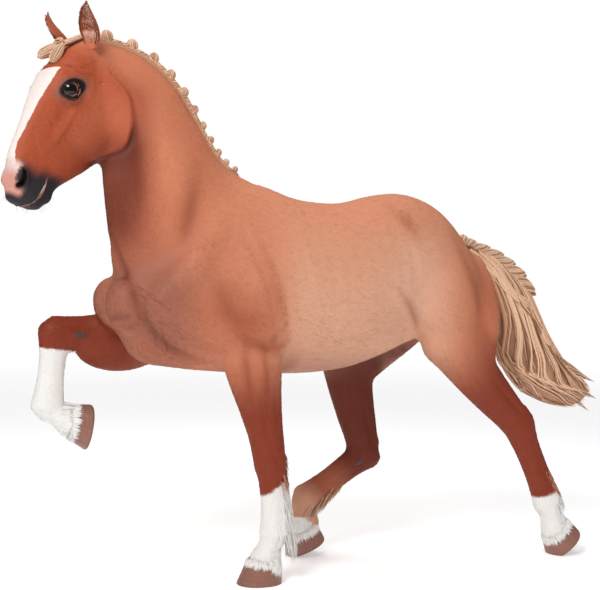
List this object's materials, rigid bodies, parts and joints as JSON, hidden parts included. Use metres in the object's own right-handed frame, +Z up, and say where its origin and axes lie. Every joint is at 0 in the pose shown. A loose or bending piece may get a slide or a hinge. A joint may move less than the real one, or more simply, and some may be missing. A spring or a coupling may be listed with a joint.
{
  "type": "horse",
  "caption": "Chestnut cob horse as a still, life-size model: one foreleg raised, plaited flaxen mane and forelock, long pale tail, white blaze and stockings.",
  "frame": {"origin": "on the floor, under the middle of the horse's box", "axes": "+Z up; the horse faces -Y, and its left side is +X"},
  "size_m": [0.5998, 2.6455, 2.1532],
  "materials": {
    "coat": "short glossy chestnut hair lying flat",
    "flaxen_hair": "long flaxen hair, plaited and loose",
    "white_hair": "long white hair over the hooves",
    "hoof_horn": "ringed horn",
    "eye_gloss": "wet dark brown",
    "bare_skin": "bare dark grey and pink skin",
    "tooth": "wet ivory"
  },
  "bodies": {
    "root": {"ear_left": "coat", "ear_right": "coat", "eye_left": "eye_gloss", "eye_right": "eye_gloss", "forelock": "flaxen_hair", "head": "coat", "hoof_fore_left": "hoof_horn", "hoof_fore_right": "hoof_horn", "hoof_hind_left": "hoof_horn", "hoof_hind_right": "hoof_horn", "leg_fore_left": "coat", "leg_fore_right": "coat", "leg_hind_left": "coat", "leg_hind_right": "coat", "mane_crest": "flaxen_hair", "mane_plait_01": "flaxen_hair", "mane_plait_02": "flaxen_hair", "mane_plait_03": "flaxen_hair", "mane_plait_04": "flaxen_hair", "mane_plait_05": "flaxen_hair", "mane_plait_06": "flaxen_hair", "mane_plait_07": "flaxen_hair", "mane_plait_08": "flaxen_hair", "mane_plait_09": "flaxen_hair", "mane_plait_10": "flaxen_hair", "mane_plait_11": "flaxen_hair", "neck": "coat", "tail": "flaxen_hair", "trunk": "coat"}
  },
  "joints": []
}
